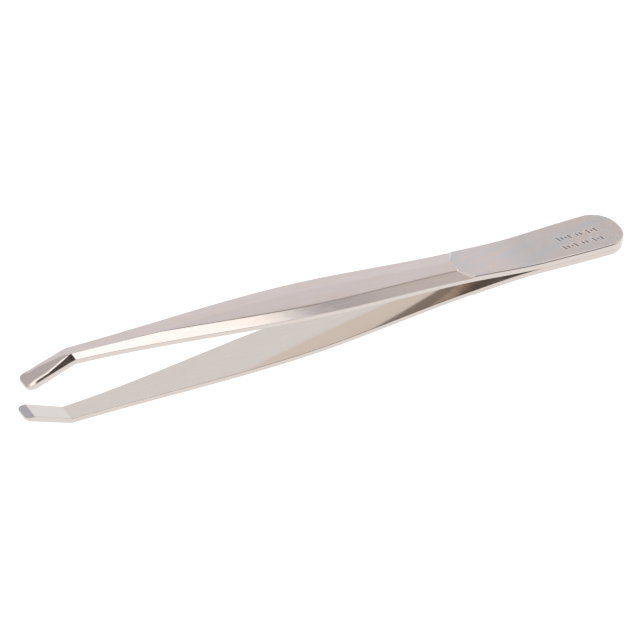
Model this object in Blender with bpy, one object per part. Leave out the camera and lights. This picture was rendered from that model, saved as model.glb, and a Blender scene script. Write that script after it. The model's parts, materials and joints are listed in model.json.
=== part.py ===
"""Spring tweezers: two bowed steel blades, welded at the tail, with tips bent in to a square bite.

The origin is the middle of the closed-in box: +X points to the tail, the tips lie at -X, +Y is across
the blades, and +Z is the direction in which the upper blade opens. The XY plane lies between the
blades. Each blade springs as if it were hinged at its shoulder, so that is where each arm's origin is.
"""
import math

import bmesh
import bpy

MM = 0.001

# Plan of a blade. A name that ends in _AT is a distance from the tail end along X.
LENGTH = 95.0 * MM
TAIL_WIDTH = 8.0 * MM
TAIL_ROUND = 3.7 * MM           # length of the rounded end
TAIL_END_FLAT = 0.6 * MM        # straight stretch in the middle of the rounded end
NECK_WIDTH = 6.6 * MM
NECK_AT = 28.0 * MM
BELLY_WIDTH = 7.75 * MM
BELLY_AT = 49.5 * MM
KNEE_WIDTH = 2.9 * MM
KNEE_TAPER = 0.055              # how fast the width still falls, for each metre, at the knee
TIP_WIDTH = 3.0 * MM
TIP_CORNER = 0.8 * MM
KNEE_FROM_TIP = 7.0 * MM
BITE_LENGTH = 1.3 * MM

# Side view of a blade. Heights are those of its inner face over the middle plane.
WELD_GAP = 0.06 * MM            # between the two inner faces along the weld
WELD_END_AT = 14.4 * MM
SHOULDER_AT = 27.6 * MM
SHOULDER_RISE = 0.89 * MM
SHOULDER_SLOPE = 0.072
KNEE_RISE = 4.56 * MM
KNEE_SLOPE = 0.025
KNEE_RADIUS = 1.4 * MM
TIP_BEND = math.radians(21.5)   # tip's slope towards the middle plane
BITE_GAP = 0.06 * MM            # left between the biting faces when the tips are closed

# Sections of a blade.
BLADE_THICKNESS = 0.90 * MM
PLATE_CHAMFER = 0.18 * MM
GROUND_DEPTH = 0.04 * MM        # taken off the outer face between the shoulder and the tip
BEVEL_WIDTH = 2.15 * MM
BEVEL_SLOPE = 0.085             # fall of a bevel for each metre of its width
RIDGE_WIDTH = 0.30 * MM         # flat that is left where the two bevels meet

# Fits.
FLEX_SLOT = 0.30 * MM           # between a tail plate and its arm
NUGGET_DIAMETER = 3.4 * MM
NUGGET_DEPTH = 0.28 * MM        # how far a weld nugget reaches into each blade
NUGGET_PLACES = {"weld_nugget_rear": 4.6 * MM, "weld_nugget_front": 10.6 * MM}
POCKET_CLEARANCE = 0.05 * MM

ARC_STEPS = 8
KNEE_STEPS = 6
STATION_STEP = 6.0 * MM
ROUND_SIDES = 32

KNEE_AT = LENGTH - KNEE_FROM_TIP
BITE_AT = LENGTH - BITE_LENGTH


def clear_scene():
    for item in list(bpy.data.objects):
        bpy.data.objects.remove(item, do_unlink=True)


def steel(name, colour, roughness):
    material = bpy.data.materials.new(name)
    material.use_nodes = True
    shader = material.node_tree.nodes["Principled BSDF"]
    shader.inputs["Base Color"].default_value = (*colour, 1.0)
    shader.inputs["Metallic"].default_value = 1.0
    shader.inputs["Roughness"].default_value = roughness
    return material


def ease(start, end, start_slope, end_slope, span, along):
    """Cubic from start to end over span, with the given slopes at its two ends."""
    t = along / span
    return (start * (2 * t**3 - 3 * t**2 + 1) + end * (3 * t**2 - 2 * t**3)
            + span * start_slope * (t**3 - 2 * t**2 + t) + span * end_slope * (t**3 - t**2))


def half_width(at):
    """Half of a blade's width at a distance from the tail end."""
    if at < TAIL_ROUND:
        side = math.sqrt(1 - (1 - at / TAIL_ROUND) ** 2)
        return (TAIL_END_FLAT + (TAIL_WIDTH - TAIL_END_FLAT) * side) / 2
    if at < NECK_AT:
        return ease(TAIL_WIDTH, NECK_WIDTH, 0, 0, NECK_AT - TAIL_ROUND, at - TAIL_ROUND) / 2
    if at < BELLY_AT:
        return ease(NECK_WIDTH, BELLY_WIDTH, 0, 0, BELLY_AT - NECK_AT, at - NECK_AT) / 2
    if at < KNEE_AT:
        return ease(BELLY_WIDTH, KNEE_WIDTH, 0, -KNEE_TAPER, KNEE_AT - BELLY_AT, at - BELLY_AT) / 2
    to_end = max(LENGTH - at, 0.0)
    full = ease(KNEE_WIDTH, TIP_WIDTH, 0, 0, KNEE_FROM_TIP, at - KNEE_AT) / 2
    if to_end >= TIP_CORNER:
        return full
    return full - TIP_CORNER + math.sqrt(TIP_CORNER**2 - (TIP_CORNER - to_end) ** 2)


def rise(at):
    """Height of the inner face, up to the knee."""
    if at <= WELD_END_AT:
        return WELD_GAP / 2
    if at < SHOULDER_AT:
        return ease(WELD_GAP / 2, SHOULDER_RISE, 0, SHOULDER_SLOPE,
                    SHOULDER_AT - WELD_END_AT, at - WELD_END_AT)
    return ease(SHOULDER_RISE, KNEE_RISE, SHOULDER_SLOPE, KNEE_SLOPE,
                KNEE_AT - SHOULDER_AT, at - SHOULDER_AT)


def bow_end():
    """Distance from the tail at which the bow turns into the round of the knee."""
    turn = math.atan(KNEE_SLOPE) + TIP_BEND
    return KNEE_AT - KNEE_RADIUS * math.tan(turn / 2)


def knee_point(lean):
    """Point of the inner face on the knee's round where its slope is lean, and the face's height."""
    start = math.atan(KNEE_SLOPE)
    centre_at = bow_end() + KNEE_RADIUS * math.sin(start)
    centre_height = rise(bow_end()) - KNEE_RADIUS * math.cos(start)
    return centre_at - KNEE_RADIUS * math.sin(lean), centre_height + KNEE_RADIUS * math.cos(lean)


def tip_height(at):
    """Height of the straight tip's inner face, before the biting face is ground."""
    knee_end, height = knee_point(-TIP_BEND)
    return height - math.tan(TIP_BEND) * (at - knee_end)


def hinge_height():
    return rise(SHOULDER_AT) + BLADE_THICKNESS / 2


def closing_angle():
    """Turn of an arm about its hinge that brings its biting face down to half of BITE_GAP."""
    reach = BITE_AT - SHOULDER_AT
    height = tip_height(BITE_AT) - hinge_height()
    drop = hinge_height() - BITE_GAP / 2
    return math.atan2(height, reach) + math.asin(drop / math.hypot(reach, height))


def bite_height(at):
    """Height of the biting face, which lies level once the arm has closed."""
    return tip_height(BITE_AT) + math.tan(closing_angle()) * (at - BITE_AT)


def spread(start, end, step=STATION_STEP):
    """Evenly spaced distances from start to end, both included."""
    count = max(1, round((end - start) / step))
    return [start + (end - start) * i / count for i in range(count + 1)]


def section(at, low, thick, crest, edge, lean=0.0):
    """Six corners of a blade's section: thick in the middle, edge at its sides, flat within crest."""
    x = LENGTH / 2 - at
    side = half_width(at)
    corners = ((-side, 0.0), (side, 0.0), (side, edge), (crest, thick), (-crest, thick), (-side, edge))
    return [(x + up * math.sin(lean), across, low + up * math.cos(lean)) for across, up in corners]


def plate_section(at):
    crest = half_width(at) - PLATE_CHAMFER
    edge = BLADE_THICKNESS - PLATE_CHAMFER
    return section(at, rise(at), BLADE_THICKNESS, crest, edge)


def arm_section(at, low, lean=0.0, steepness=1.0, cut=0.0):
    """Section of an arm, whose bevels narrow to nothing between the knee and the end of the tip.

    steepness stretches the heights of an upright section through the sloping tip, and cut is what
    the biting face takes off the inside.
    """
    side = half_width(at)
    left = min(1.0, (LENGTH - at) / KNEE_FROM_TIP)
    bevel = min(BEVEL_WIDTH, side - RIDGE_WIDTH / 2) * left
    thick = (BLADE_THICKNESS - GROUND_DEPTH) * steepness - cut
    return section(at, low, thick, side - bevel, thick - BEVEL_SLOPE * bevel, lean)


def plate_rings():
    rounded = [TAIL_ROUND * (1 - math.cos(math.pi / 2 * i / ARC_STEPS)) for i in range(ARC_STEPS)]
    welded = spread(TAIL_ROUND, WELD_END_AT)
    sprung = spread(WELD_END_AT, SHOULDER_AT - FLEX_SLOT / 2)
    return [plate_section(at) for at in rounded + welded + sprung[1:]]


def arm_rings():
    """Sections from the flexing slot round the knee to the end of the tip."""
    rings = [arm_section(at, rise(at)) for at in spread(SHOULDER_AT + FLEX_SLOT / 2, bow_end())]
    first, last = math.atan(KNEE_SLOPE), -TIP_BEND
    for step in range(1, KNEE_STEPS + 1):
        lean = first + (last - first) * step / KNEE_STEPS
        rings.append(arm_section(*knee_point(lean), lean=lean))
    steepness = 1 / math.cos(TIP_BEND)
    straight_start = knee_point(-TIP_BEND)[0] + BLADE_THICKNESS * math.sin(TIP_BEND)
    for at in spread(straight_start, BITE_AT)[1:]:
        rings.append(arm_section(at, tip_height(at), steepness=steepness))
    corner = [LENGTH - TIP_CORNER * (1 - math.sin(math.pi / 2 * i / ARC_STEPS))
              for i in range(ARC_STEPS + 1)]
    for at in corner:
        cut = bite_height(at) - tip_height(at)
        rings.append(arm_section(at, bite_height(at), steepness=steepness, cut=cut))
    return rings


def loft(rings, side, pivot=(0.0, 0.0, 0.0)):
    """Closed mesh through the rings: side is 1 for the upper blade and -1 for its mirror image."""
    mesh = bmesh.new()
    loops = []
    for ring in rings:
        loops.append([mesh.verts.new((x - pivot[0], y, side * z - pivot[2])) for x, y, z in ring])
    for near, far in zip(loops, loops[1:]):
        for i in range(len(near)):
            j = (i + 1) % len(near)
            mesh.faces.new((near[i], near[j], far[j], far[i]))
    mesh.faces.new(loops[0])
    mesh.faces.new(loops[-1])
    bmesh.ops.recalc_face_normals(mesh, faces=mesh.faces)
    return mesh


def add_object(name, mesh, material, place=(0.0, 0.0, 0.0)):
    data = bpy.data.meshes.new(name)
    mesh.to_mesh(data)
    mesh.free()
    data.materials.append(material)
    item = bpy.data.objects.new(name, data)
    item.location = place
    bpy.context.scene.collection.objects.link(item)
    return item


def disc(radius, height, place):
    """Upright round disc whose middle is at place."""
    mesh = bmesh.new()
    bmesh.ops.create_cone(mesh, cap_ends=True, segments=ROUND_SIDES, radius1=radius, radius2=radius,
                          depth=height)
    bmesh.ops.translate(mesh, verts=mesh.verts, vec=place)
    return mesh


def add_nuggets():
    """Weld nuggets, and the cutters for the pockets that they fill in both tail plates."""
    fused = steel("weld_metal", (0.42, 0.40, 0.39), 0.5)
    cutters = []
    for name, at in NUGGET_PLACES.items():
        place = (LENGTH / 2 - at, 0.0, 0.0)
        height = 2 * NUGGET_DEPTH + WELD_GAP
        nugget = add_object(name, disc(NUGGET_DIAMETER / 2, height, place), fused)
        nugget.data.shade_smooth()
        nugget.data.set_sharp_from_angle(angle=math.radians(40))
        pocket = disc(NUGGET_DIAMETER / 2 + POCKET_CLEARANCE, height + 2 * POCKET_CLEARANCE, place)
        cutter = add_object("pocket_" + name, pocket, fused)
        cutter.hide_render = True
        cutter.display_type = "WIRE"
        cutters.append(cutter)
    return cutters


def add_tail_plate(name, side, cutters):
    plate = add_object(name, loft(plate_rings(), side), steel("satin_" + name, (0.60, 0.59, 0.61), 0.28))
    for cutter in cutters:
        pocket = plate.modifiers.new(cutter.name, "BOOLEAN")
        pocket.operation = "DIFFERENCE"
        pocket.solver = "EXACT"
        pocket.object = cutter


def add_arm(name, side):
    pivot = (LENGTH / 2 - SHOULDER_AT, 0.0, side * hinge_height())
    arm = loft(arm_rings(), side, pivot)
    add_object(name, arm, steel("ground_" + name, (0.66, 0.64, 0.64), 0.22), pivot)


def main():
    clear_scene()
    cutters = add_nuggets()
    add_tail_plate("upper_tail_plate", 1, cutters)
    add_tail_plate("lower_tail_plate", -1, cutters)
    add_arm("upper_arm", 1)
    add_arm("lower_arm", -1)


main()
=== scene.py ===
"""Looks of a pair of spring tweezers: two bowed steel blades, welded at the tail, with bent-in tips.

Each blade is one closed mesh that bends at its shoulder. It follows the same profile as the solid part:
a satin tail plate, then a ground flat with a bevel on each side, and a facet where the tips bite.
A name that ends in _AT is a distance from the tail end along the blade.
"""
import json
import math

import bpy
import numpy as np
from mathutils import Matrix, Vector


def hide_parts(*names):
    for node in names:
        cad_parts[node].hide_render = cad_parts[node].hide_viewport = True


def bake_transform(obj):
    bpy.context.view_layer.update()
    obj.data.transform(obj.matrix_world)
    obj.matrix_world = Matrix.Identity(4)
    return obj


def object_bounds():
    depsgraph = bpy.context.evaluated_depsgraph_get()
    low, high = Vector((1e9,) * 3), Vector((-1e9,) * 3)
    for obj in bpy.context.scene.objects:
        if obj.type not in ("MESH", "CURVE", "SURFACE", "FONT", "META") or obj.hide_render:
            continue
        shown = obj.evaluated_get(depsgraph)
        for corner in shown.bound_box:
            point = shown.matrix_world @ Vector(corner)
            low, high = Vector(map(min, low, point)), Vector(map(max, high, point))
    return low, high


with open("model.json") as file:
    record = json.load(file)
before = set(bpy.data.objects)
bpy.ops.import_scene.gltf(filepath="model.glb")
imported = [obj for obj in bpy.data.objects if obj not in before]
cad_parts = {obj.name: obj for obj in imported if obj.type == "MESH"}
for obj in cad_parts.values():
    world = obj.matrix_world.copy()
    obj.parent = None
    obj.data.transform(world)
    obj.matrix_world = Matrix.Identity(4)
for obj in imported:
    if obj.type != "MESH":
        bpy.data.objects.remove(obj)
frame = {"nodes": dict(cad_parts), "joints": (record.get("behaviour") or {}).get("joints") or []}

cad_low, cad_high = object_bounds()

MM = 0.001

# Plan of a blade.
LENGTH = cad_high.x - cad_low.x
TAIL_WIDTH = cad_high.y - cad_low.y
TAIL_ROUND = 3.7 * MM           # radius of the tail's two corners
NECK_WIDTH = 6.6 * MM
NECK_AT = 28.0 * MM
BELLY_WIDTH = 7.75 * MM
BELLY_AT = 49.5 * MM
KNEE_WIDTH = 2.9 * MM
KNEE_TAPER = 0.055              # how fast the width still falls at the knee
TIP_WIDTH = 3.0 * MM
TIP_CORNER = 0.8 * MM
KNEE_AT = LENGTH - 7.0 * MM
BITE_AT = LENGTH - 1.3 * MM

# Side view of a blade: heights of its inner face over the middle plane.
SEAM = 0.008 * MM               # hairline between the two blades along the weld
WELD_END_AT = 14.4 * MM
HINGE = Vector(frame["joints"][0]["pos_m"])
SHOULDER_AT = cad_high.x - HINGE.x
SHOULDER_RISE = 0.89 * MM
SHOULDER_SLOPE = 0.072
KNEE_RISE = 4.56 * MM
KNEE_SLOPE = 0.025
KNEE_RADIUS = 1.4 * MM
TIP_BEND = math.radians(21.5)
BITE_GAP = 0.06 * MM            # between the biting faces when the tips are closed

# Section of a blade.
BLADE_THICKNESS = 0.90 * MM
PLATE_ROUND = 0.25 * MM         # outer edge of the tail plate, tumbled round
GROUND_ROUND = 0.045 * MM       # outer edges of the ground arm
INNER_ROUND = 0.06 * MM
WELDED_ROUND = 0.012 * MM       # of the inner edges that the weld closes
OPENING = 4.0 * MM              # length in front of the weld over which the inner edges get round
INNER_WEAR = 0.12 * MM          # how far in from an edge its wear reaches
OUTER_WEAR = 0.16 * MM
FULL_WEAR = 0.02 * MM           # and how far in the wear is full
GROUND_DEPTH = 0.05 * MM
BEVEL_WIDTH = 2.15 * MM
BEVEL_SLOPE = 0.085
RIDGE_WIDTH = 0.30 * MM         # least flat between the two bevels
CREASE = 0.20 * MM              # half width of the rounded line between a flat and its bevel
TIP_CREASE = 0.5                # how much wider the line gets from the knee to the end of the tip
TIP_BEVEL_STEEP = 1.8           # keeps a narrow bevel on the tip as steep as a wide one

# Where the grinding runs out towards the tail.
RUN_OUT_AT = 28.0 * MM          # where the wheel starts to lift from the flat
RUN_OUT_SLANT = 0.70            # how far the bevels run on towards the tail, for their width
RUN_OUT_REACH = 2.1 * MM        # length that holds the whole run-out
LIFT_SLOPE = 0.19               # on the flat
WALL_SLOPE = 0.62               # on the bevels
WALL_START = 0.40 * MM          # from the line of a bevel to where the slope is full
LIFT_ROUND = 0.12 * MM          # length over which the lift sets in

# Punched mark.
MARK_DEPTH = 0.07 * MM
MARK_ROWS = ((3.9 * MM, 0.30 * MM), (4.1 * MM, -1.75 * MM))   # first tick and height of each row
MARK_PITCH = 0.62 * MM
MARK_TICKS = (1.0, 0.45, 1.0, 0.0, 0.7, 0.7, 0.0, 1.0, 0.45, 0.7, 1.0)   # length of each; 0 is a dot
MARK_HEIGHT = 1.0 * MM
MARK_LEAN = math.radians(18)
MARK_STROKE = 0.10 * MM         # half width of a tick
MARK_BOTTOM = 0.3 * MARK_STROKE # half width of its flat bottom
MARK_RIM = 0.014 * MM           # metal that the punch raised round a tick
MARK_RIM_TOP = 1.2 * MARK_STROKE
MARK_RIM_END = 2 * MARK_STROKE

# Grid of a blade's mesh: rows run across it, columns along it.
EDGE_INSETS = [inset * MM for inset in (0, 0.004, 0.012, 0.025, 0.045, 0.07, 0.10, 0.14, 0.19, 0.26)]
NARROW = 0.8 * MM               # half width below which the columns near an edge draw together
INNER_COLUMNS = 12
SIDE_COLUMNS = 3
CREASE_COLUMNS = 5
LEAST_BEVEL = 1.2               # room for a bevel inside the edge's columns, in half widths of its crease
CREASE_IN_BEVEL = 0.8           # most that the crease takes of that room
CREASE_IN_FLAT = 0.6            # most that it takes of half of the flat
MARKED_COLUMNS = (46, 20)       # on the flat and on each bevel
PLAIN_COLUMNS = (18, 9)
TAIL_ROWS = 48
KNEE_ROWS = 20
CORNER_ROWS = 20
MARKED_STEP = 0.08 * MM
PLATE_STEP = 0.5 * MM
ARM_STEP = 0.6 * MM
FINE_STEP = 0.04 * MM           # at the run-out
TIP_STEP = 0.25 * MM
BITE_STEP = 0.1 * MM
BITE_EDGE = 0.02 * MM           # row spacing at the two sides of the bite's edge
LAST_ROWS = [inset * MM for inset in (0.012, 0.006, 0.0024, 0.0)]   # from the end of the tip
TIP_START = 0.2 * MM            # from the knee's round to the first row of the straight tip
TIP_LEAN_LENGTH = 2.5 * MM      # length over which the rows turn upright again
SHARP = math.radians(50)

# Distance from the tail end up to which the punched mark is pressed.
BEND_START_AT = 15.0 * MM

# Material slots of a blade.
SATIN_SLOT, GROUND_SLOT, INNER_SLOT, BITE_SLOT = range(4)

# Colours of the bare metal, and a painted shade for the hollows of the punched mark.
SATIN = (0.665, 0.612, 0.605)
SATIN_WARM = (0.715, 0.610, 0.570)
SATIN_COOL = (0.630, 0.608, 0.620)
SATIN_LAPPED = (0.50, 0.46, 0.47)
SATIN_SPECK = (0.36, 0.34, 0.35)
# Painted shade: the colour the punched ticks and dots darken to, standing in for the shade in their hollows.
PUNCH_SHADE = (0.33, 0.29, 0.28)
EDGE = (0.62, 0.56, 0.52)
GROUND = (0.705, 0.628, 0.610)
INNER = (0.725, 0.665, 0.618)
BITE = (0.46, 0.455, 0.475)
WELD = (0.42, 0.40, 0.39)
WELD_COOL = (0.33, 0.33, 0.37)
WELD_WARM = (0.50, 0.45, 0.40)
SCALE_AT = 22.0 * MM            # from here to the tail the inner faces keep their mill scale
SCALE_ROUGHNESS = 0.45

# Studio: colours of the light all round, at the horizon and above an elevation in degrees.
HORIZON = (1.06, 1.11, 1.18)
ABOVE = (0.89, 0.885, 0.90)
ABOVE_FROM = 24.0
DARK = (1.0, 0.80, 0.75)
WARM = (1.0, 0.95, 0.92)
SOFT = (1.0, 0.97, 0.95)
# Fields laid over it, each over those before it: azimuth, elevation, the angles from its middle at which
# it starts to fade and has faded, colour, strength. All angles are in degrees.
FIELDS = (
    (-53.0, 50.0, 18.0, 34.0, SOFT, 0.25),                        # dim room that rounded near edges reflect
    (72.0, 54.0, 6.0, 8.0, DARK, 0.07),                           # black cards over the bent tips
    (88.0, 58.0, 7.0, 9.0, DARK, 0.07),
    (107.0, 60.0, 7.6, 8.6, DARK, 0.07),
    (101.0, 44.0, 4.0, 7.0, (1.0, 0.98, 0.97), 0.60),             # grey card for the tips' flats
    (102.8, 49.0, 1.7, 3.0, (1.0, 0.99, 0.96), 1.6),              # slit of light for their creases
    (49.0, 37.5, 2.0, 8.0, SOFT, 0.74),                           # grey card for the rear half of the bevels
    (47.5, 36.0, 1.2, 2.6, WARM, 0.36),                           # dim strips for the line of the crease
    (50.5, 37.0, 1.2, 2.6, WARM, 0.36),
    (53.5, 38.2, 1.2, 2.6, WARM, 0.36),
    (46.0, 38.5, 0.8, 2.2, (1.0, 0.97, 0.93), 0.74),              # grey card for the bevels' rear ends
    (47.4, 39.2, 1.0, 2.0, (0.96, 1.0, 1.04), 0.50),              # cool patch on the bevels
    (51.5, 48.0, 8.55, 8.65, (1.0, 1.01, 0.99), 1.58),            # soft box for the front of the bevels
)

# Floor: a light table.
FLOOR_REACH = 1.2
FLOOR_GLOW = 1.0
FLOOR_SHADE = 0.25
FLOOR_ROUGHNESS = 0.9
FLOOR_CLEARANCE = 0.02 * MM
BELLY_TOUCH = (30 * MM, 90 * MM)  # distances from the tail end between which the belly touches it

# Camera.
CAMERA_AZIMUTH, CAMERA_ELEVATION, CAMERA_ROLL = math.radians(-33.3), math.radians(36.5), math.radians(5.37)
CAMERA_AIM = Vector((-1.69 * MM, 0.0, -1.06 * MM))
CAMERA_DISTANCE = 548 * MM
CAMERA_LENS = 224.1
SENSOR_WIDTH = 36.0


def ease(start, end, start_slope, end_slope, span, along):
    """Cubic from start to end over span, with the given slopes at its two ends."""
    t = along / span
    return (start * (2 * t**3 - 3 * t**2 + 1) + end * (3 * t**2 - 2 * t**3)
            + span * start_slope * (t**3 - 2 * t**2 + t) + span * end_slope * (t**3 - t**2))


def smooth(low, high, value):
    """0 below low, 1 above high and a smooth step between them; low may be the larger one."""
    t = np.clip((value - low) / (high - low), 0, 1)
    return t * t * (3 - 2 * t)


def full_half_width(at):
    """Half of a blade's width without the rounding of its ends."""
    if at < TAIL_ROUND:
        return TAIL_WIDTH / 2
    if at < NECK_AT:
        return ease(TAIL_WIDTH, NECK_WIDTH, 0, 0, NECK_AT - TAIL_ROUND, at - TAIL_ROUND) / 2
    if at < BELLY_AT:
        return ease(NECK_WIDTH, BELLY_WIDTH, 0, 0, BELLY_AT - NECK_AT, at - NECK_AT) / 2
    if at < KNEE_AT:
        return ease(BELLY_WIDTH, KNEE_WIDTH, 0, -KNEE_TAPER, KNEE_AT - BELLY_AT, at - BELLY_AT) / 2
    return ease(KNEE_WIDTH, TIP_WIDTH, 0, 0, LENGTH - KNEE_AT, at - KNEE_AT) / 2


def nearest_end(at):
    """Distance to the nearer end of a blade, and the radius of that end's corners."""
    return min((at, TAIL_ROUND), (LENGTH - at, TIP_CORNER), key=lambda end: end[0])


def half_width(at):
    """Half of a blade's width, with both ends' rounded corners."""
    full = full_half_width(at)
    from_end, radius = nearest_end(at)
    if from_end >= radius:
        return full
    return full - radius + math.sqrt(max(0.0, radius**2 - (radius - from_end) ** 2))


def inset_of(at, across):
    """Distance of points on a blade's plan from its outline."""
    full = full_half_width(at)
    from_end, radius = nearest_end(at)
    if from_end >= radius:
        return full - np.abs(across)
    beside = np.abs(across) - (full - radius)
    in_corner = radius - np.hypot(radius - from_end, np.maximum(beside, 0))
    return np.where(beside > 0, in_corner, np.minimum(full - np.abs(across), from_end))


def rise(at):
    """Height of the inner face, up to the knee."""
    if at <= WELD_END_AT:
        return SEAM / 2
    if at < SHOULDER_AT:
        return ease(SEAM / 2, SHOULDER_RISE, 0, SHOULDER_SLOPE,
                    SHOULDER_AT - WELD_END_AT, at - WELD_END_AT)
    return ease(SHOULDER_RISE, KNEE_RISE, SHOULDER_SLOPE, KNEE_SLOPE,
                KNEE_AT - SHOULDER_AT, at - SHOULDER_AT)


def bow_end():
    """Distance from the tail at which the bow turns into the round of the knee."""
    return KNEE_AT - KNEE_RADIUS * math.tan((math.atan(KNEE_SLOPE) + TIP_BEND) / 2)


def knee_point(lean):
    """Point of the inner face on the knee's round where its slope is lean, and the face's height."""
    start = math.atan(KNEE_SLOPE)
    centre_at = bow_end() + KNEE_RADIUS * math.sin(start)
    centre_height = rise(bow_end()) - KNEE_RADIUS * math.cos(start)
    return centre_at - KNEE_RADIUS * math.sin(lean), centre_height + KNEE_RADIUS * math.cos(lean)


def tip_height(at):
    """Height of the straight tip's inner face, before the biting face is ground."""
    knee_end, height = knee_point(-TIP_BEND)
    return height - math.tan(TIP_BEND) * (at - knee_end)


def closing_angle():
    """Turn of a blade about its shoulder that closes the bite."""
    hinge_height = SHOULDER_RISE + BLADE_THICKNESS / 2
    height = tip_height(BITE_AT) - hinge_height
    reach = BITE_AT - SHOULDER_AT
    return math.atan2(height, reach) + math.asin((hinge_height - BITE_GAP / 2) / math.hypot(reach, height))


def bite_cut(at):
    """What the biting face takes off the inside of the tip."""
    level = tip_height(BITE_AT) + math.tan(closing_angle()) * (at - BITE_AT)
    return max(0.0, level - tip_height(at)) if at > BITE_AT else 0.0


def spread(start, end, step):
    """Evenly spaced distances from start to end, without the end."""
    count = max(1, round((end - start) / step))
    return [start + (end - start) * i / count for i in range(count)]


def plate_and_arm_rows(marked):
    """Distances of the rows from the tail end to the knee."""
    turn = math.radians(90) / TAIL_ROWS
    rows = [TAIL_ROUND * (1 - math.cos(turn * i)) for i in range(TAIL_ROWS)]
    fine = MARKED_STEP if marked else ARM_STEP
    if marked:
        rows = [at for at in rows if at < MARK_ROWS[0][0] - MARK_HEIGHT]
    mark_end = MARK_ROWS[1][0] + MARK_PITCH * len(MARK_TICKS) + MARK_HEIGHT
    run_out_start, run_out_end = RUN_OUT_AT - RUN_OUT_REACH, RUN_OUT_AT + FINE_STEP
    rows += spread(rows[-1] + fine, mark_end, fine)
    rows += spread(mark_end, run_out_start, PLATE_STEP)
    rows += spread(run_out_start, run_out_end, FINE_STEP)
    return rows + spread(run_out_end, bow_end(), ARM_STEP)


def tip_rows():
    """Distances of the rows on the straight tip."""
    start = knee_point(-TIP_BEND)[0]
    turn = math.radians(90) / CORNER_ROWS
    corner = [LENGTH - TIP_CORNER * (1 - math.sin(turn * i)) for i in range(CORNER_ROWS)]
    rows = spread(start + TIP_START, BITE_AT - BITE_EDGE, TIP_STEP) + [BITE_AT - BITE_EDGE, BITE_AT]
    rows += spread(BITE_AT + BITE_EDGE, corner[0], BITE_STEP) + corner
    return sorted(set(rows + [LENGTH - inset for inset in LAST_ROWS]))


def stations(marked):
    """Where a blade is cut into sections: (distance, height of the inner face, lean, stretch, cut)."""
    rows = [(at, rise(at), 0.0, 1.0, 0.0) for at in plate_and_arm_rows(marked)]
    first, last = math.atan(KNEE_SLOPE), KNEE_ROWS - 1
    for step in range(KNEE_ROWS):
        lean = first * (1 - step / last) - TIP_BEND * step / last
        rows.append((*knee_point(lean), lean, 1.0, 0.0))
    start = knee_point(-TIP_BEND)[0]
    for at in tip_rows():
        lean = -TIP_BEND * (1 - min(1.0, (at - start) / TIP_LEAN_LENGTH))
        cut = bite_cut(at)
        rows.append((at, tip_height(at) + cut, lean, 1 / math.cos(TIP_BEND + lean), cut))
    return rows


def bevel_width(at, half):
    """Width of each bevel: it narrows to nothing between the knee and the end of the tip."""
    left = min(1.0, (LENGTH - at) / (LENGTH - KNEE_AT))
    return min(BEVEL_WIDTH, half - RIDGE_WIDTH / 2) * left


def edge_places(half):
    """Columns from an edge inwards, drawn together where the blade is narrow."""
    return [inset * min(1.0, half / NARROW) for inset in EDGE_INSETS]


def outer_columns(at, flat_columns, bevel_columns):
    """Places across the outer face, from one edge to the other, the ridge's place, and its half width."""
    half = half_width(at)
    edge = edge_places(half)
    crease = CREASE * min(1.0, half / NARROW)
    crease *= 1 + TIP_CREASE * max(0.0, at - KNEE_AT) / (LENGTH - KNEE_AT)
    bevel = max(bevel_width(at, half), edge[-1] + LEAST_BEVEL * crease)
    crease = min(crease, CREASE_IN_BEVEL * (bevel - edge[-1]), CREASE_IN_FLAT * (half - bevel))
    side = [half - place for place in edge]
    side += list(np.linspace(side[-1], half - bevel + crease, bevel_columns + 1)[1:])
    side += list(np.linspace(half - bevel + crease, half - bevel - crease, CREASE_COLUMNS + 1)[1:])
    flat = list(np.linspace(side[-1], -side[-1], flat_columns + 1)[1:-1])
    return np.array(side + flat + [-place for place in reversed(side)]), half - bevel, crease


def inner_columns(half):
    """Places across the inner face, the other way."""
    side = [half - place for place in edge_places(half)]
    flat = list(np.linspace(side[-1], -side[-1], INNER_COLUMNS + 2)[1:-1])
    return -np.array(side + flat + [-place for place in reversed(side)])


def ground_depth(at, across, ridge, crease):
    """How deep the grinding goes below the plate's face, and 0 where it doesn't reach."""
    beside = np.abs(across) - ridge
    rounded = np.where(beside < crease, (np.maximum(beside + crease, 0)) ** 2 / (4 * crease), beside)
    half = half_width(at)
    share = min(1.0, TIP_BEVEL_STEEP * bevel_width(at, half) / (half - ridge))
    on_bevel = np.maximum(beside, 0)
    back = np.maximum(RUN_OUT_AT - RUN_OUT_SLANT * on_bevel - at, 0)
    slope = LIFT_SLOPE + (WALL_SLOPE - LIFT_SLOPE) * smooth(0, WALL_START, on_bevel)
    lift = slope * np.where(back < LIFT_ROUND, back**2 / (2 * LIFT_ROUND), back - LIFT_ROUND / 2)
    return np.maximum(GROUND_DEPTH + BEVEL_SLOPE * share * rounded - lift, 0)


def rounding(inside, radius):
    """What a rounded edge takes off a face at a distance inside its outline."""
    short = np.clip(radius - inside, 0, radius)
    return radius - np.sqrt(radius**2 - short**2)


def mark_depth(at, across):
    """Depth of the punched ticks and dots at points of the tail plate, and less than 0 on their rims."""
    depth = np.zeros_like(across)
    for start, height in MARK_ROWS:
        for i, size in enumerate(MARK_TICKS):
            centre, reach = start + i * MARK_PITCH, size * MARK_HEIGHT / 2
            along, beside = at - centre, across - height
            lengthwise = beside * math.cos(MARK_LEAN) + along * math.sin(MARK_LEAN)
            sideways = along * math.cos(MARK_LEAN) - beside * math.sin(MARK_LEAN)
            away = np.hypot(np.maximum(np.abs(lengthwise) - reach, 0), sideways)
            depth += MARK_DEPTH * smooth(MARK_STROKE, MARK_BOTTOM, away)
            depth -= MARK_RIM * smooth(MARK_RIM_END, MARK_RIM_TOP, away) * (away > MARK_STROKE)
    return depth


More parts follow.
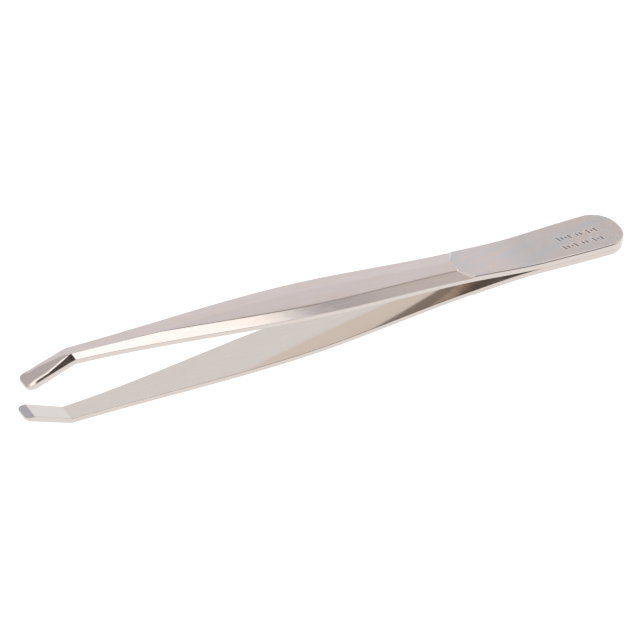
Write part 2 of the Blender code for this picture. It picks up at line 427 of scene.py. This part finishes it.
def section(row, marked, counts):
    """Closed ring of one section of the upper blade.

    Returns its points and, for each, whether it is ground, inside and in the bite; how worn it is as an
    edge; how deep it is punched; and its place on a straight blade, in millimetres.
    """
    at, low, lean, stretch, cut = row
    outer, ridge, crease = outer_columns(at, *counts)
    half = outer[0]
    inner = inner_columns(half)
    inner_inset = np.maximum(inset_of(at, inner), 0)
    opened = smooth(WELD_END_AT, WELD_END_AT + OPENING, at)
    inner_up = rounding(inner_inset, WELDED_ROUND + (INNER_ROUND - WELDED_ROUND) * opened)

    outer_inset = np.maximum(inset_of(at, outer), 0)
    depth = ground_depth(at, outer, ridge, crease)
    ground = depth > 0
    thick = BLADE_THICKNESS * stretch - cut
    plate_up = thick - rounding(outer_inset, PLATE_ROUND)
    ground_up = thick - depth * stretch - rounding(outer_inset, GROUND_ROUND)
    outer_up = ground_up if at > RUN_OUT_AT else np.where(ground, np.minimum(plate_up, ground_up), plate_up)
    pressed = mark_depth(at, outer) if marked and at < BEND_START_AT else np.zeros_like(outer)
    outer_up = outer_up - pressed

    share = np.linspace(0, 1, SIDE_COLUMNS + 2)[1:-1]
    rising = inner_up[-1] + (outer_up[0] - inner_up[-1]) * share
    falling = outer_up[-1] + (inner_up[0] - outer_up[-1]) * share
    side = np.full(SIDE_COLUMNS, half)
    across = np.concatenate((inner, side, outer, -side))
    up = np.concatenate((inner_up, rising, outer_up, falling))
    points = np.stack((cad_high.x - at + up * math.sin(lean), across, low + up * math.cos(lean)), 1)

    def ring(on_inner, on_side, on_outer):
        """A value for each point, in the order of the points."""
        on_inner, on_outer = on_inner + np.zeros_like(inner), on_outer + np.zeros_like(outer)
        beside = np.full(SIDE_COLUMNS, on_side)
        return np.concatenate((on_inner, beside, on_outer, beside))

    kind = np.stack((ring(0.0, ground[0], ground), ring(1.0, 0.0, 0.0), ring(cut > 0, 0.0, 0.0)), 1)
    worn = ring(smooth(INNER_WEAR, FULL_WEAR, inner_inset), 1.0, smooth(OUTER_WEAR, FULL_WEAR, outer_inset))
    punched = ring(0.0, 0.0, np.clip(pressed / MARK_DEPTH, 0, 1))
    place = np.stack((np.full_like(across, at), across, up), 1) / MM
    return points, kind, worn, punched, place


def blade_mesh(name, side, marked):
    """One blade as a closed grid of sections; side is 1 for the upper blade and -1 for the lower one."""
    counts = MARKED_COLUMNS if marked else PLAIN_COLUMNS
    rings = [section(row, marked, counts) for row in stations(marked)]
    points, kind, worn, punched, place = (np.concatenate(part) for part in zip(*rings))
    points[:, 2] *= side
    count, size = len(rings), len(rings[0][0])
    here = np.arange(size)
    after = (here + 1) % size
    starts = np.arange(count - 1)[:, None] * size
    quads = np.stack((starts + here, starts + size + here, starts + size + after, starts + after), 2)
    quads = quads.reshape(-1, 4)[:, ::-side]
    caps = [here[::side].tolist(), ((count - 1) * size + here)[::-side].tolist()]
    mesh = bpy.data.meshes.new(name)
    mesh.from_pydata(points.tolist(), [], quads.tolist() + caps)
    for label, values in (("worn", worn), ("punched", punched)):
        mesh.attributes.new(label, "FLOAT", "POINT").data.foreach_set("value", values.astype(np.float32))
    layer = mesh.attributes.new("place", "FLOAT_VECTOR", "POINT")
    layer.data.foreach_set("vector", place.astype(np.float32).ravel())
    ground, inside, biting = (kind[quads].mean(1) > 0.5).T
    slots = np.full(len(quads) + len(caps), SATIN_SLOT, dtype=np.int32)
    slots[:len(quads)][ground] = GROUND_SLOT
    slots[:len(quads)][inside] = INNER_SLOT
    slots[:len(quads)][inside & biting] = BITE_SLOT
    slots[-1] = GROUND_SLOT
    mesh.polygons.foreach_set("material_index", slots)
    mesh.shade_smooth()
    mesh.set_sharp_from_angle(angle=SHARP)
    mesh.update()
    return mesh


def node(tree, kind, inputs=None, **settings):
    """New shader node: inputs maps a socket to a value or to the output that feeds it."""
    made = tree.nodes.new("ShaderNode" + kind)
    for key, value in settings.items():
        setattr(made, key, value)
    for key, value in (inputs or {}).items():
        if isinstance(value, bpy.types.NodeSocket):
            tree.links.new(value, made.inputs[key])
        else:
            made.inputs[key].default_value = value
    return made


def carried(tree, name, output="Fac"):
    """What the mesh carries under a name: a number, or a vector where the output is Vector."""
    return node(tree, "Attribute", attribute_name=name).outputs[output]


def streaks(tree, place, stretch, seed, detail=3.0, turn=0.0):
    """Noise drawn out along the blade, or at a turn to it: stretch is its fineness for each millimetre."""
    turned = node(tree, "Mapping", {"Vector": place, "Rotation": (0.0, 0.0, turn)}).outputs[0]
    scaled = node(tree, "Mapping", {"Vector": turned, "Scale": stretch, "Location": (seed, seed, 0.0)})
    return node(tree, "TexNoise", {"Vector": scaled.outputs[0], "Scale": 1.0, "Detail": detail,
                                   "Roughness": 0.6}).outputs["Fac"]


def grain_of(tree, place, scale, detail):
    return node(tree, "TexNoise", {"Vector": place, "Scale": scale, "Detail": detail}).outputs["Fac"]


def ranged(tree, value, low, high, to_low, to_high):
    """A value taken from the range low to high into the range to_low to to_high, and held there."""
    return node(tree, "MapRange", {"Value": value, "From Min": low, "From Max": high,
                                   "To Min": to_low, "To Max": to_high}).outputs[0]


def summed(tree, first, second):
    return node(tree, "Math", {0: first, 1: second}, operation="ADD").outputs[0]


def mixed(tree, share, first, second):
    """Colour between first and second; each may be a constant or a socket."""
    made = node(tree, "Mix", data_type="RGBA", blend_type="MIX", clamp_factor=True)
    for socket, value in (("Factor_Float", share), ("A_Color", first), ("B_Color", second)):
        target = next(s for s in made.inputs if s.identifier == socket)
        if isinstance(value, bpy.types.NodeSocket):
            tree.links.new(value, target)
        else:
            target.default_value = value if isinstance(value, float) else (*value, 1.0)
    return next(s for s in made.outputs if s.identifier == "Result_Color")


def bumped(tree, height, distance, under=None):
    """Normal of a relief of a given depth in metres, over another normal if there is one."""
    inputs = {"Height": height, "Distance": distance, "Strength": 1.0}
    if under is not None:
        inputs["Normal"] = under
    return node(tree, "Bump", inputs).outputs[0]


def steel(name, colour, roughness):
    """New metal material and its tree; the plain colour and roughness are its looks without its nodes."""
    material = bpy.data.materials.new(name)
    material.use_nodes = True
    material.diffuse_color = (*colour, 1.0)
    shader = material.node_tree.nodes["Principled BSDF"]
    shader.inputs["Base Color"].default_value = (*colour, 1.0)
    shader.inputs["Metallic"].default_value = 1.0
    shader.inputs["Roughness"].default_value = roughness
    return material, material.node_tree


def feed(tree, colour, roughness, normal):
    """Leads three outputs into a material's shader."""
    shader = tree.nodes["Principled BSDF"]
    for name, output in (("Base Color", colour), ("Roughness", roughness), ("Normal", normal)):
        tree.links.new(output, shader.inputs[name])


def satin_plate():
    """Satin tail plate: fine lapping, soft slanted temper tints, specks, painted shade in the punched ticks
    and dots, and a burnished edge.
    """
    material, tree = steel("satin_plate", SATIN, 0.18)
    place, worn = carried(tree, "place", "Vector"), carried(tree, "worn")
    tint = streaks(tree, place, (0.10, 0.55, 0.2), 4.0, 2.0, math.radians(17))
    colour = mixed(tree, ranged(tree, tint, 0.33, 0.50, 1.0, 0.0), SATIN, SATIN_WARM)
    colour = mixed(tree, ranged(tree, tint, 0.50, 0.67, 0.0, 1.0), colour, SATIN_COOL)
    lapping = streaks(tree, place, (1.1, 7.0, 7.0), 3.0, 4.0)
    colour = mixed(tree, ranged(tree, lapping, 0.35, 0.65, 0.0, 0.05), colour, SATIN_LAPPED)
    specks = ranged(tree, grain_of(tree, place, 2.6, 1.0), 0.70, 0.78, 0.0, 0.25)
    colour = mixed(tree, specks, colour, SATIN_SPECK)
    # Painted shade: the punched ticks and dots are darkened by their depth, standing in for the shade in
    # their hollows.
    colour = mixed(tree, ranged(tree, carried(tree, "punched"), 0.15, 0.9, 0.0, 0.65), colour, PUNCH_SHADE)
    colour = mixed(tree, ranged(tree, worn, 0.4, 1.0, 0.0, 1.0), colour, EDGE)
    roughness = summed(tree, ranged(tree, lapping, 0.3, 0.7, 0.16, 0.21),
                       ranged(tree, worn, 0.0, 1.0, 0.0, -0.05))
    wave = streaks(tree, place, (0.22, 0.6, 0.6), 11.0, 1.0)
    feed(tree, colour, roughness, bumped(tree, wave, 4.0e-6, bumped(tree, lapping, 1.0e-7)))
    return material


def ground_steel(name, colour, roughness, seed, film_share, mill_scale=0.0):
    """Ground face: scratches along the blade, slow ripples of the wheel and a warm film in patches.

    mill_scale is how much rougher the face gets towards the weld, where the wheel didn't reach.
    """
    material, tree = steel(name, colour, roughness)
    place = carried(tree, "place", "Vector")
    scratch = streaks(tree, place, (0.25, 11.0, 11.0), seed, 4.0)
    film = streaks(tree, place, (0.10, 0.5, 0.5), seed + 5.0, 2.0)
    tan = (colour[0], 0.955 * colour[1], 0.91 * colour[2])
    darker = tuple(0.86 * part for part in colour)
    tinted = mixed(tree, ranged(tree, film, 0.42, 0.62, 0.0, film_share), colour, tan)
    tinted = mixed(tree, ranged(tree, scratch, 0.30, 0.62, 0.35, 0.0), tinted, darker)
    tinted = mixed(tree, ranged(tree, carried(tree, "worn"), 0.93, 1.0, 0.0, 1.0), tinted, EDGE)
    polished = ranged(tree, scratch, 0.3, 0.7, roughness - 0.03, roughness + 0.05)
    along = node(tree, "SeparateXYZ", {0: place}).outputs[0]
    scaled = ranged(tree, along, SCALE_AT / MM, SHOULDER_AT / MM, mill_scale, 0.0)
    ripple = streaks(tree, place, (0.35, 0.12, 0.12), seed + 9.0, 1.0)
    relief = bumped(tree, ripple, 3.0e-6, bumped(tree, scratch, 0.7e-6))
    feed(tree, tinted, summed(tree, polished, scaled), relief)
    return material


def weld_metal():
    """Fused metal of the spot welds: dull, grey-blue, with a grainy skin."""
    material, tree = steel("weld_metal_fused", WELD, 0.5)
    grain = grain_of(tree, node(tree, "TexCoord").outputs["Object"], 4000.0, 3.0)
    colour = mixed(tree, ranged(tree, grain, 0.35, 0.65, 0.0, 1.0), WELD_COOL, WELD_WARM)
    feed(tree, colour, ranged(tree, grain, 0.3, 0.7, 0.42, 0.60), bumped(tree, grain, 8.0e-6))
    return material


def add_blade(name, side, materials, marked):
    """One blade over its tail plate and its arm."""
    mesh = blade_mesh(name, side, marked)
    for material in materials:
        mesh.materials.append(material)
    blade = bpy.data.objects.new(name, mesh)
    bpy.context.scene.collection.objects.link(blade)
    place = "upper" if side > 0 else "lower"
    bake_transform(blade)
    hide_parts(place + "_tail_plate", place + "_arm")


def add_blades():
    """Both blades. The slots follow SATIN_SLOT, GROUND_SLOT, INNER_SLOT and BITE_SLOT."""
    materials = [
        satin_plate(),
        ground_steel("ground_steel_outer", GROUND, 0.075, 2.0, 0.8),
        ground_steel("ground_steel_inner", INNER, 0.07, 21.0, 0.15, SCALE_ROUGHNESS),
        ground_steel("bite_facet_steel", BITE, 0.34, 33.0, 0.3),
    ]
    add_blade("upper_blade", 1, materials, marked=True)
    add_blade("lower_blade", -1, materials, marked=False)


def dress_nuggets():
    fused = weld_metal()
    for nugget in ("weld_nugget_rear", "weld_nugget_front"):
        frame["nodes"][nugget].data.materials.clear()
        frame["nodes"][nugget].data.materials.append(fused)


def direction(azimuth, elevation):
    """Unit vector: azimuth is counted from +X towards +Y, elevation from the floor."""
    turn, lift = math.radians(azimuth), math.radians(elevation)
    return (math.cos(turn) * math.cos(lift), math.sin(turn) * math.cos(lift), math.sin(lift))


def add_studio():
    """Soft light all round, brighter at the horizon, with the fields laid over it."""
    world = bpy.data.worlds.new("studio")
    bpy.context.scene.world = world
    world.use_nodes = True
    tree = world.node_tree
    ray = node(tree, "TexCoord").outputs["Generated"]
    height = node(tree, "SeparateXYZ", {0: ray}).outputs[2]
    light = mixed(tree, ranged(tree, height, 0.0, math.sin(math.radians(ABOVE_FROM)), 0.0, 1.0),
                  HORIZON, ABOVE)
    for azimuth, elevation, inner, outer, colour, strength in FIELDS:
        facing = node(tree, "VectorMath", {0: ray, 1: direction(azimuth, elevation)},
                      operation="DOT_PRODUCT").outputs["Value"]
        share = node(tree, "MapRange", {"Value": facing, "From Min": math.cos(math.radians(outer)),
                                        "From Max": math.cos(math.radians(inner))},
                     interpolation_type="SMOOTHSTEP").outputs[0]
        light = mixed(tree, share, light, tuple(strength * part for part in colour))
    tree.links.new(light, tree.nodes["Background"].inputs["Color"])


def add_floor():
    """Pale floor that glows like a light table: it touches the lower blade's belly and its tail end."""
    touch_x, touch_z = cad_high.x, -SEAM / 2 - BLADE_THICKNESS
    slope = max((rise(at) + BLADE_THICKNESS + touch_z) / at for at in spread(*BELLY_TOUCH, MM))
    corners = [(x, y, touch_z + (x - touch_x) * slope - FLOOR_CLEARANCE)
               for x, y in ((-FLOOR_REACH, -FLOOR_REACH), (FLOOR_REACH, -FLOOR_REACH),
                            (FLOOR_REACH, FLOOR_REACH), (-FLOOR_REACH, FLOOR_REACH))]
    mesh = bpy.data.meshes.new("floor")
    mesh.from_pydata(corners, [], [(0, 1, 2, 3)])
    floor = bpy.data.objects.new("floor", mesh)
    bpy.context.scene.collection.objects.link(floor)
    material = bpy.data.materials.new("pale_floor")
    material.use_nodes = True
    shader = material.node_tree.nodes["Principled BSDF"]
    shader.inputs["Base Color"].default_value = (FLOOR_SHADE, FLOOR_SHADE, FLOOR_SHADE, 1.0)
    shader.inputs["Roughness"].default_value = FLOOR_ROUGHNESS
    shader.inputs["Specular IOR Level"].default_value = 0.0
    shader.inputs["Emission Color"].default_value = (1.0, 1.0, 1.0, 1.0)
    shader.inputs["Emission Strength"].default_value = FLOOR_GLOW
    mesh.materials.append(material)


def add_camera():
    """Camera of a close view from the side of the tips, aimed at the middle of the blades."""
    azimuth, elevation, roll = CAMERA_AZIMUTH, CAMERA_ELEVATION, CAMERA_ROLL
    back = Vector((math.sin(azimuth) * math.cos(elevation), -math.cos(azimuth) * math.cos(elevation),
                   math.sin(elevation)))
    level = Vector((math.cos(azimuth), math.sin(azimuth), 0.0))
    upright = back.cross(level)
    right = level * math.cos(roll) + upright * math.sin(roll)
    up = upright * math.cos(roll) - level * math.sin(roll)
    data = bpy.data.cameras.new("camera")
    data.lens, data.sensor_width = CAMERA_LENS, SENSOR_WIDTH
    data.clip_start, data.clip_end = 0.01, 10.0
    camera = bpy.data.objects.new("camera", data)
    turn = Matrix((right, up, back)).transposed().to_4x4()
    camera.matrix_world = Matrix.Translation(CAMERA_AIM + back * CAMERA_DISTANCE) @ turn
    bpy.context.scene.collection.objects.link(camera)
    bpy.context.scene.camera = camera


add_blades()
dress_nuggets()
add_studio()
add_floor()
add_camera()
bpy.context.scene.view_settings.view_transform = "Standard"
